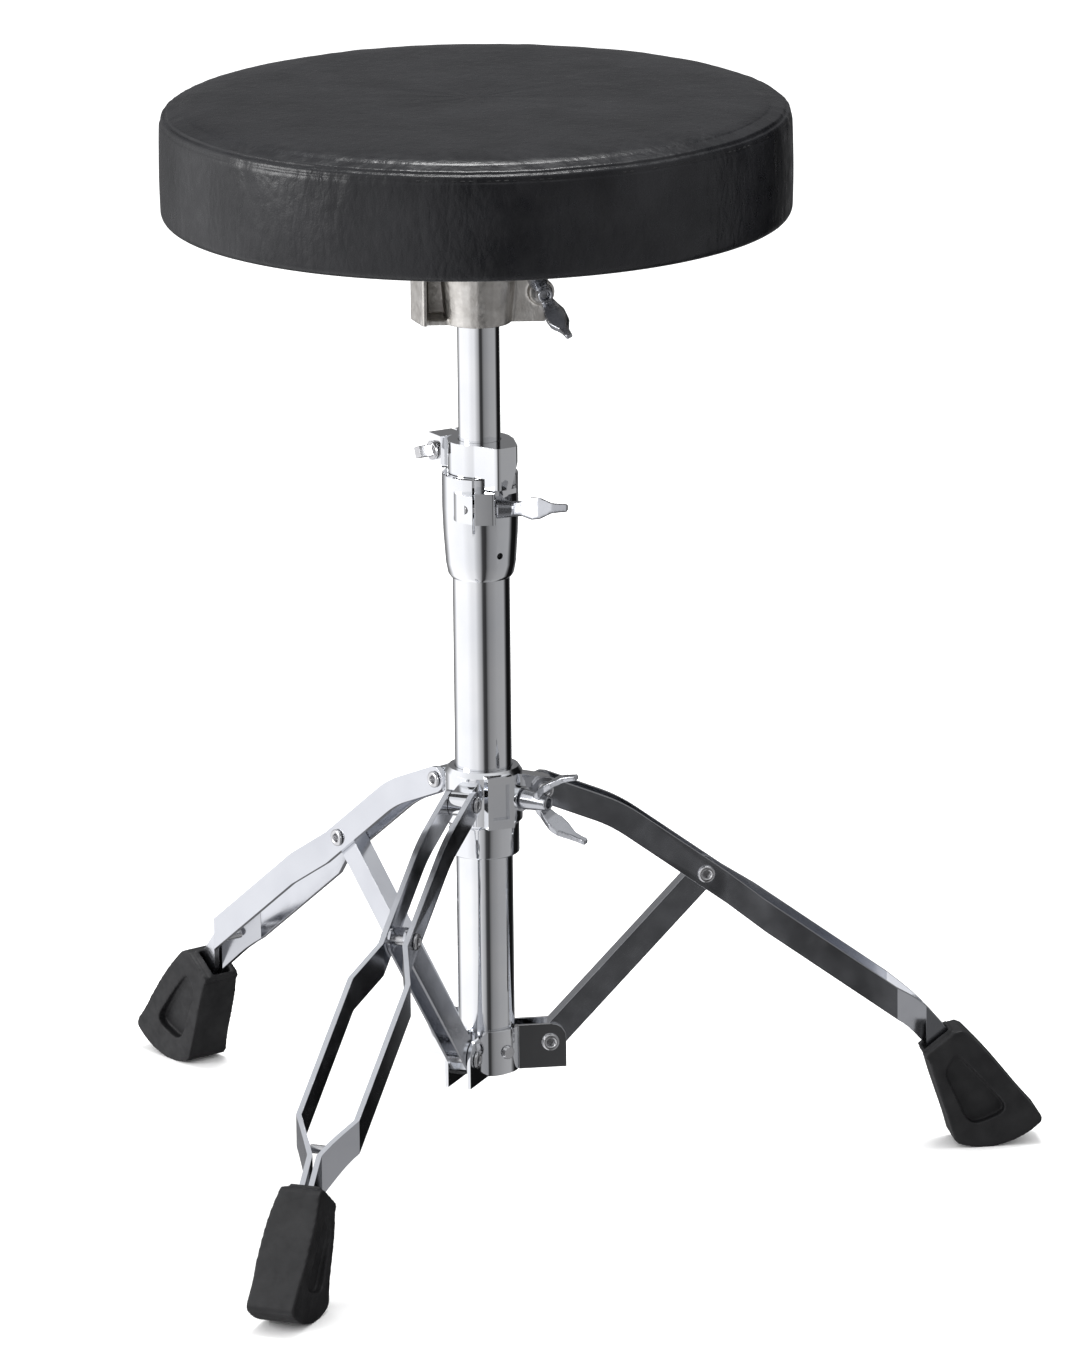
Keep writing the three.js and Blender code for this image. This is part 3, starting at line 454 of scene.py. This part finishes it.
def make_world():
    world = bpy.data.worlds.new("studio")
    bpy.context.scene.world = world
    world.use_nodes = True
    nodes, links = world.node_tree.nodes, world.node_tree.links
    nodes.clear()

    def add(kind, **settings):
        node = nodes.new(kind)
        for key, value in settings.items():
            setattr(node, key, value)
        return node

    def math_node(operation, *sources):
        node = add("ShaderNodeMath", operation=operation)
        for i, source in enumerate(sources):
            if isinstance(source, (int, float)):
                node.inputs[i].default_value = source
            else:
                links.new(source, node.inputs[i])
        return node.outputs[0]

    split = add("ShaderNodeSeparateXYZ")
    links.new(add("ShaderNodeTexCoord").outputs["Generated"], split.inputs[0])
    x, y, z = split.outputs
    # degrees to the right of the camera's own direction, as a share of a full turn
    angle = math_node("ARCTAN2", x, math_node("MULTIPLY", y, -1))
    turned = math_node("SUBTRACT", angle, PHOTO_TURN)
    share = math_node("FRACT", math_node("ADD", math_node("DIVIDE", turned, math.tau), 0.5))
    ramp = add("ShaderNodeValToRGB")
    stops = ramp.color_ramp.elements
    while len(stops) > 1:
        stops.remove(stops[-1])
    for i, (degrees, value) in enumerate(WALLS):
        stop = stops[0] if i == 0 else stops.new((degrees + 180) / 360)
        stop.position = (degrees + 180) / 360
        stop.color = (value, value, value * 1.02, 1)
    links.new(share, ramp.inputs["Fac"])
    # overhead it turns into one bright ceiling
    rise = add("ShaderNodeMapRange", interpolation_type="SMOOTHSTEP")
    rise.inputs["From Min"].default_value = 0.55
    rise.inputs["From Max"].default_value = 0.85
    links.new(z, rise.inputs["Value"])
    walls = add("ShaderNodeMix", data_type="RGBA")
    links.new(rise.outputs["Result"], walls.inputs["Factor"])
    links.new(ramp.outputs["Color"], walls.inputs[6])
    walls.inputs[7].default_value = (0.85, 0.86, 0.88, 1)
    path = add("ShaderNodeLightPath")
    even = add("ShaderNodeMix", data_type="RGBA")
    links.new(path.outputs["Is Diffuse Ray"], even.inputs["Factor"])
    links.new(walls.outputs[2], even.inputs[6])
    even.inputs[7].default_value = (1.2, 1.2, 1.2, 1)
    seen = add("ShaderNodeMix", data_type="RGBA")
    links.new(path.outputs["Is Camera Ray"], seen.inputs["Factor"])
    links.new(even.outputs[2], seen.inputs[6])
    seen.inputs[7].default_value = (1, 1, 1, 1)
    background = add("ShaderNodeBackground")
    links.new(seen.outputs[2], background.inputs["Color"])
    links.new(background.outputs[0], add("ShaderNodeOutputWorld").inputs["Surface"])


def add_light(name, energy, size, azimuth, elevation, distance, target_height=0.35):
    """A square soft light, at degrees round from the camera and above the horizon."""
    data = bpy.data.lights.new(name, "AREA")
    data.energy = energy
    data.size = size
    light = new_object(name, data)
    a, e = PHOTO_TURN + math.radians(azimuth), math.radians(elevation)
    back = Vector((math.sin(a) * math.cos(e), -math.cos(a) * math.cos(e), math.sin(e)))
    target = AXIS + Vector((0, 0, target_height))
    light.location = target + back * distance
    light.rotation_euler = (-back).to_track_quat("-Z", "Y").to_euler()
    return light


def make_floor():
    bm = bmesh.new()
    bmesh.ops.create_circle(bm, cap_ends=True, segments=96, radius=60)
    floor = new_object("floor", mesh_from("floor", bm, smooth=False))
    if floor.data.polygons[0].normal.z < 0:
        floor.data.flip_normals()
    floor.location = (AXIS.x, AXIS.y, 0)
    look = Look("floor", (0.97, 0.97, 0.97), 0.9)
    look.shader.inputs["Specular IOR Level"].default_value = 0.0
    floor.data.materials.append(look.material)
    floor.visible_glossy = False


make_camera()
make_world()
make_floor()
add_light("overhead", 46, 0.8, 172, 82, 1.9, 0.58)
add_light("left_side", 34, 1.0, -74, 12, 2.4, 0.5)
bpy.context.scene.view_settings.view_transform = "Standard"
bpy.context.scene.view_settings.look = "None"


# ---------------------------------------------------------------- seat

SEAT_SIDES = 320
STITCHES = 230
STAPLES = 44
SEAM_ANGLE = 42  # where the top panel's seam lies on the rounded shoulder, in degrees up from level
SHOULDER = 11
CROWN = 1.6  # the top's middle stands this much above its rim
HEM_DROP = 1.8  # how far the stuffed band sags below its hem
BOTTOM_EDGE = 5


def cushion_profile(radius, low, high):
    """Half section from the middle of the top to the middle of the underside, in mm."""
    rim = radius - SHOULDER
    points = []
    for i in range(23):
        r = rim * i / 23
        points.append((r, high - CROWN * (r / rim) ** 2.4))
    top = high - CROWN
    for i in range(33):
        a = math.radians(90 - 90 * i / 32)
        points.append((rim + SHOULDER * math.cos(a), top - SHOULDER + SHOULDER * math.sin(a)))
    wall_top, wall_low = top - SHOULDER, low + BOTTOM_EDGE
    for i in range(1, 26):
        t = i / 26
        points.append((radius + 0.5 * math.sin(math.pi * t), wall_top + (wall_low - wall_top) * t))
    for i in range(8):
        a = math.radians(-90 * i / 7)
        points.append((radius + BOTTOM_EDGE * (math.cos(a) - 1), low + BOTTOM_EDGE * (1 + math.sin(a))))
    for i in range(1, 8):
        r = radius - BOTTOM_EDGE - (radius - BOTTOM_EDGE - 139) * i / 7
        points.append((r, low + HEM_DROP * i / 7))
    inside = low + HEM_DROP + 2
    points += [(138.6, inside - 1.1), (138.4, inside), (70, inside), (0, inside)]
    return points


def seam_place(radius, high):
    a = math.radians(SEAM_ANGLE)
    top = high - CROWN
    return radius - SHOULDER + SHOULDER * math.cos(a), top - SHOULDER + SHOULDER * math.sin(a)


def bell(distance, width):
    return math.exp(-(distance / width) ** 2)


def relief(r, z, turn, seam_r, seam_z):
    """How far the skin stands proud at a point, in mm: seam, topstitched welt, soft puckers."""
    along = (seam_z - z) + (r - seam_r) * 0.6  # distance below the seam, roughly along the skin
    spot = Vector((math.cos(turn) * 3.1, math.sin(turn) * 3.1, 0.4))
    uneven = 0.75 + 0.5 * noise.noise(spot * 1.7)
    depth = -1.25 * bell(along, 0.95) * uneven
    depth += 0.38 * bell(along - 2.6, 1.5)
    depth -= 0.55 * bell(along - 5.2, 0.8) * (0.55 + 0.6 * noise.noise(spot * 2.3))
    if -9 < along < 34:
        pucker = noise.noise(Vector((math.cos(turn) * 21, math.sin(turn) * 21, z * 0.035)))
        depth += 0.5 * pucker * bell(along - 7, 13)
    wave = noise.noise(Vector((math.cos(turn) * 4.2, math.sin(turn) * 4.2, z * 0.02)))
    return depth + 0.3 * wave


def swell(obj, pinned, frames=12, cap=1.5):
    """Lets the stuffing push the skin out under cloth pressure, by at most cap mm."""
    rest = [v.co.copy() for v in obj.data.vertices]
    group = obj.vertex_groups.new(name="held")
    group.add(pinned, 1.0, "REPLACE")
    cloth = obj.modifiers.new("stuffing", "CLOTH")
    settings = cloth.settings
    settings.quality = 6
    settings.mass = 0.4
    settings.tension_stiffness = settings.compression_stiffness = 40
    settings.bending_stiffness = 4
    settings.use_pressure = True
    settings.uniform_pressure_force = 4
    settings.vertex_group_mass = "held"
    settings.effector_weights.gravity = 0
    scene = bpy.context.scene
    for step in range(1, frames + 1):
        scene.frame_set(step)
    graph = bpy.context.evaluated_depsgraph_get()
    moved = [v.co.copy() for v in obj.evaluated_get(graph).data.vertices]
    obj.modifiers.clear()
    obj.vertex_groups.clear()
    scene.frame_set(1)
    steps = [after - before for before, after in zip(rest, moved)]
    steps = [s if s.length < cap * MM else s * (cap * MM / s.length) for s in steps]
    near = [[] for _ in steps]
    for edge in obj.data.edges:
        one, two = edge.vertices
        near[one].append(two)
        near[two].append(one)
    for _ in range(3):
        steps = [(s + sum((steps[j] for j in around), Vector())) / (1 + len(around))
                 for s, around in zip(steps, near)]
    for vertex, before, step in zip(obj.data.vertices, rest, steps):
        vertex.co = before + step


def seat_cushion():
    low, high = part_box("seat_cover")
    radius = (high.x - low.x) / 2 / MM - 0.8
    bottom, top = low.z / MM - HEM_DROP, high.z / MM + 1.2
    profile = cushion_profile(radius, bottom, top)
    bm = bmesh.new()
    lathe_into(bm, profile, SEAT_SIDES)
    mesh = mesh_from("seat_cushion", bm)
    obj = new_object("seat_cushion", mesh)
    seam_r, seam_z = seam_place(radius, top)
    wall = bottom + BOTTOM_EDGE
    held = [
        v.index for v in mesh.vertices
        if v.co.z / MM < wall + 1
        or math.hypot(math.hypot(v.co.x, v.co.y) / MM - seam_r, v.co.z / MM - seam_z) < 1.2
    ]
    swell(obj, held)
    for vertex in obj.data.vertices:
        r, z = math.hypot(vertex.co.x, vertex.co.y) / MM, vertex.co.z / MM
        if r < 1 or z < bottom + HEM_DROP + 2.5:
            continue
        turn = math.atan2(vertex.co.y, vertex.co.x)
        push = relief(r, z, turn, seam_r, seam_z) * MM
        vertex.co += vertex.normal * push
    obj.data.transform(Matrix.Translation(AXIS))
    dress(obj, "seat_cover", "seat_foam")
    return seam_r, seam_z


def seat_stitching(seam_r, seam_z):
    """Short stitches in the groove of the topstitch, just under the seam."""
    bm = bmesh.new()
    r, z = seam_r + 1.9, seam_z - 3.4
    for i in range(STITCHES):
        turn = math.tau * i / STITCHES
        place = (
            Matrix.Translation(AXIS) @ Matrix.Rotation(turn, 4, "Z")
            @ Matrix.Translation(Vector((r - 0.35, 0, z)) * MM) @ Matrix.Rotation(math.pi / 2, 4, "X")
        )
        lathe_into(bm, [(0, -1.5), (0.3, -1.3), (0.42, -0.6), (0.42, 0.6), (0.3, 1.3), (0, 1.5)], 6, place)
    obj = new_object("seat_stitching", mesh_from("seat_stitching", bm))
    finish_piece(obj, THREAD, "bottom_cloth", "seat")


STAPLE = ((-0.3, -5), (0.3, -5), (0.45, 0), (0.3, 5), (-0.3, 5), (-0.45, 0))  # seen from below, in mm


def seat_underside():
    """Dust cover with soft waves, and the staples that hold the hem."""
    low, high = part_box("seat_bottom_cloth")
    radius = (high.x - low.x) / 2 / MM
    z = low.z / MM
    steps = 16
    profile = [(0, z)] + [(radius * i / steps, z) for i in range(1, steps + 1)]
    profile += [(radius, high.z / MM), (radius * 0.5, high.z / MM), (0, high.z / MM)]
    bm = bmesh.new()
    lathe_into(bm, profile, 96)
    for vertex in bm.verts:
        r = vertex.co.xy.length / MM
        if vertex.co.z / MM < z + 0.1 and 70 < r < radius - 1:
            fade = math.sin(math.pi * (r - 70) / (radius - 71))
            vertex.co.z -= 0.5 * MM * max(0, noise.noise(vertex.co * 28)) * fade
    obj = new_object("seat_dust_cover", mesh_from("seat_dust_cover", bm))
    obj.data.transform(Matrix.Translation(AXIS))
    dress(obj, "seat_bottom_cloth")
    bm = bmesh.new()
    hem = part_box("seat_cover")[0].z / MM
    for i in range(STAPLES):
        turn = math.tau * i / STAPLES
        lean = 0.5 * noise.noise(Vector((i * 1.7, 0.3, 0)))
        place = (
            Matrix.Translation(AXIS) @ Matrix.Rotation(turn, 4, "Z")
            @ Matrix.Translation(Vector((146, 0, hem - 0.15)) * MM) @ Matrix.Rotation(lean, 4, "Z")
        )
        prism_into(bm, STAPLE, -0.3, 0.3, place)
    staples = new_object("seat_staples", mesh_from("seat_staples", bm))
    bevelled(staples, 0.12)
    finish_piece(staples, STEEL, "steel", "seat")


seat_stitching(*seat_cushion())
seat_underside()


# ---------------------------------------------------------------- tubes

def tube_piece(node, outer, inner, edge=0.7):
    """A drawn tube with softly rounded ends, in place of the node."""
    low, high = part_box(node)
    z0, z1 = low.z / MM, high.z / MM
    profile = [(inner, z0)] + rounded_rim(outer, z0, edge, up=-1)[::-1]
    profile += rounded_rim(outer, z1, edge) + [(inner, z1), (inner, z0)]
    bm = bmesh.new()
    lathe_into(bm, profile, 128)
    bmesh.ops.remove_doubles(bm, verts=bm.verts, dist=1e-6)
    obj = new_object(node + "_tube", mesh_from(node, bm))
    obj.data.transform(about_post())
    smooth_by_angle(obj)
    return dress(obj, node)


def smooth_by_angle(obj, angle=40):
    """Marks edges sharper than this, so that flat ends stay flat in shading."""
    bm = bmesh.new()
    bm.from_mesh(obj.data)
    for edge in bm.edges:
        edge.smooth = not (len(edge.link_faces) == 2 and edge.calc_face_angle(0) > math.radians(angle))
    bm.to_mesh(obj.data)
    bm.free()


post_radius = size_of("seat_post").x / 2 / MM
base_radius = size_of("base_tube").x / 2 / MM
sleeve_radius = size_of("collar_sleeve").x / 2 / MM
WALL = 1.5
tube_piece("seat_post", post_radius, post_radius - WALL)
tube_piece("base_tube", base_radius, base_radius - WALL)
tube_piece("collar_sleeve", sleeve_radius, base_radius + 0.3, 1.0)


# ---------------------------------------------------------------- refined metal parts

def refined(node, width, segments=2, angle=33):
    obj = copy_of(node, node + "_part")
    bevelled(obj, width, segments, angle)
    return dress(obj, node)


def cast(node, voxel, rounds=5):
    obj = copy_of(node, node + "_part")
    softened(obj, voxel, rounds)
    return dress(obj, node)


def world_points(node):
    obj = NODES[node]
    return [obj.matrix_world @ v.co for v in obj.data.vertices]


def pin_frame(node, axis):
    """Frame at the node's middle with local Z along its axis, and its half length and radius in mm."""
    middle = centre_of(node)
    axis = axis.normalized()
    offsets = [p - middle for p in world_points(node)]
    half = max(abs(o.dot(axis)) for o in offsets) / MM
    radius = max((o - axis * o.dot(axis)).length for o in offsets) / MM
    place = Matrix.Translation(middle) @ axis.to_track_quat("Z", "Y").to_matrix().to_4x4()
    return place, half, radius


def ring_rivet(node, axis, shank, head=1.6):
    """Tubular rivet: rolled rings at both ends round an open, dark middle."""
    place, half, radius = pin_frame(node, axis)
    hollow = radius * 0.44
    end = []
    for i in range(9):
        a = math.pi * i / 8
        end.append((
            (radius + hollow) / 2 + (radius - hollow) / 2 * math.cos(a),
            half - head + 0.35 + (head - 0.35) * math.sin(a),
        ))
    bm = bmesh.new()
    profile = [(shank, 0), (shank, half - head), (radius - 0.25, half - head)] + end
    profile += [(hollow, half - 2.6), (0, half - 2.6)]
    mirrored = [(r, -z) for r, z in profile[::-1]]
    lathe_into(bm, mirrored[:-1] + profile, 40, place)
    obj = new_object(node + "_rivet", mesh_from(node, bm))
    smooth_by_angle(obj, 50)
    return dress(obj, node)


def tangent(leg):
    return Vector((-math.sin(LEG_TURN[leg]), math.cos(LEG_TURN[leg]), 0))


def seat_screw(node):
    """Pan-head screw with a cross recess, head down, its point in the board."""
    low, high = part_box(node)
    middle = centre_of(node)
    radius = (high.x - low.x) / 2 / MM
    z0, z1 = low.z / MM, high.z / MM
    place = Matrix.Translation((middle.x, middle.y, 0))
    bm = bmesh.new()
    profile = [(0, z0 + 1.3), (0.7, z0 + 1.3), (1.3, z0 + 0.1), (2.6, z0 + 0.05)]
    for i in range(7):
        a = math.radians(15 + 75 * i / 6)
        profile.append((radius * (0.5 + 0.5 * math.sin(a)), z0 + 2.7 - 2.6 * math.cos(a)))
    profile += [(radius, z0 + 2.7), (2.7, z0 + 2.7)]
    turns = 9
    for i in range(turns):
        z = z0 + 3.2 + (z1 - z0 - 5) * i / turns
        profile += [(2.3, z), (2.75, z + 0.6), (2.3, z + 1.2)]
    profile += [(0, z1)]
    lathe_into(bm, profile, 32, place)
    for turn in (0, math.pi / 2):
        cross = place @ Matrix.Rotation(turn, 4, "Z")
        prism_into(bm, [(-2.1, -0.35), (2.1, -0.35), (2.1, 0.35), (-2.1, 0.35)], z0 + 0.2, z0 + 0.9, cross)
    obj = new_object(node + "_screw", mesh_from(node, bm))
    smooth_by_angle(obj, 40)
    return dress(obj, node)


cast("seat_bracket", 0.7, 3)
for wing in ("seat_wing_bolt", "height_wing_nut", "collar_wing_bolt"):
    cast(wing, 0.42, 5)
for name in ("memory_lock", "tube_joint", "leg_collar"):
    refined(name, 0.45, 3)
refined("memory_lock_key_bolt", 0.35, 3)
for leg in LEGS:
    refined("leg_strip_%s_a" % leg, 0.5, 2, 30)
    refined("leg_strip_%s_b" % leg, 0.5, 2, 30)
    refined("stay_" + leg, 0.3, 2, 30)
    ring_rivet("leg_pivot_" + leg, tangent(leg), 2.6)
    ring_rivet("stay_pivot_" + leg, tangent(leg), 2.6)
    ring_rivet("lower_pivot_" + leg, tangent(leg), 2.6)
    refined("leg_spacer_" + leg, 0.3, 2)
for i in (1, 2, 3, 4):
    seat_screw("bracket_screw_%d" % i)
for i in (1, 2, 3):
    refined("lower_bracket_%d" % i, 0.6, 3)
    refined("lower_bracket_screw_%d" % i, 0.35, 3)
for node in ("joint_bushing", "height_clamp_bolt", "base_tube_plug"):
    refined(node, 0.3, 2)
def rubber_foot(leg):
    """Moulded foot, fuller round its mouth than the plain block it stands for."""
    obj = cast("rubber_foot_" + leg, 0.6, 6)
    out = Vector((math.cos(LEG_TURN[leg]), math.sin(LEG_TURN[leg]), 0))
    side = tangent(leg)
    points = [v.co.copy() for v in obj.data.vertices]
    highest = max(p.z for p in points)
    mouth = [p for p in points if p.z > highest - 8 * MM]
    mouth = sum(mouth, Vector()) / len(mouth)
    along = (sum(points, Vector()) / len(points) - mouth).normalized()
    across = along.cross(side).normalized()
    middle = Vector(AXIS)
    for vertex in obj.data.vertices:
        spot = vertex.co - mouth
        t = max(0, min(1, 1 - (spot.dot(along) / MM - 4) / 46))
        ease = t * t * (3 - 2 * t)
        wide = (vertex.co - middle).dot(side)
        deep = spot.dot(across)
        vertex.co += side * wide * 0.34 * ease + across * deep * 0.12 * ease
    return obj


# Painted shade: the clamp joint's small hole gets a near-black plug in place of its own dark inside.
HOLE_SHADE_TURN = math.radians(-58)  # round the post from the clamp's side
HOLE_SHADE_DEPTH = 15.5  # from the post's axis to the inner end of the painted-shade plug
HOLE_SHADE_HEIGHT = 339


def hole_shade_plug():
    """Painted shade: a near-black plug sunk in the small hole low on the clamp joint, standing for the shade
    inside the hole.
    """
    turn = PHOTO_TURN + HOLE_SHADE_TURN
    spot = Vector((HOLE_SHADE_DEPTH, 0, HOLE_SHADE_HEIGHT)) * MM
    place = about_post(turn) @ Matrix.Translation(spot) @ Matrix.Rotation(math.pi / 2, 4, "Y")
    bm = bmesh.new()
    lathe_into(bm, [(0, 0), (1.5, 0), (1.65, 0.2), (1.65, 1.3), (1.3, 1.6), (0, 1.5)], 20, place)
    finish_piece(new_object("hole_shade_plug", mesh_from("hole_shade_plug", bm)), RUBBER, "nylon", "base")


# near-black plug as painted shade in the joint's small hole
hole_shade_plug()
for leg in LEGS:
    rubber_foot(leg)
refined("seat_board", 0.6, 2)
for node in NODES:
    if not NODES[node].hide_render:
        NODES[node].data.materials.clear()
        NODES[node].data.materials.append(look_of(node))
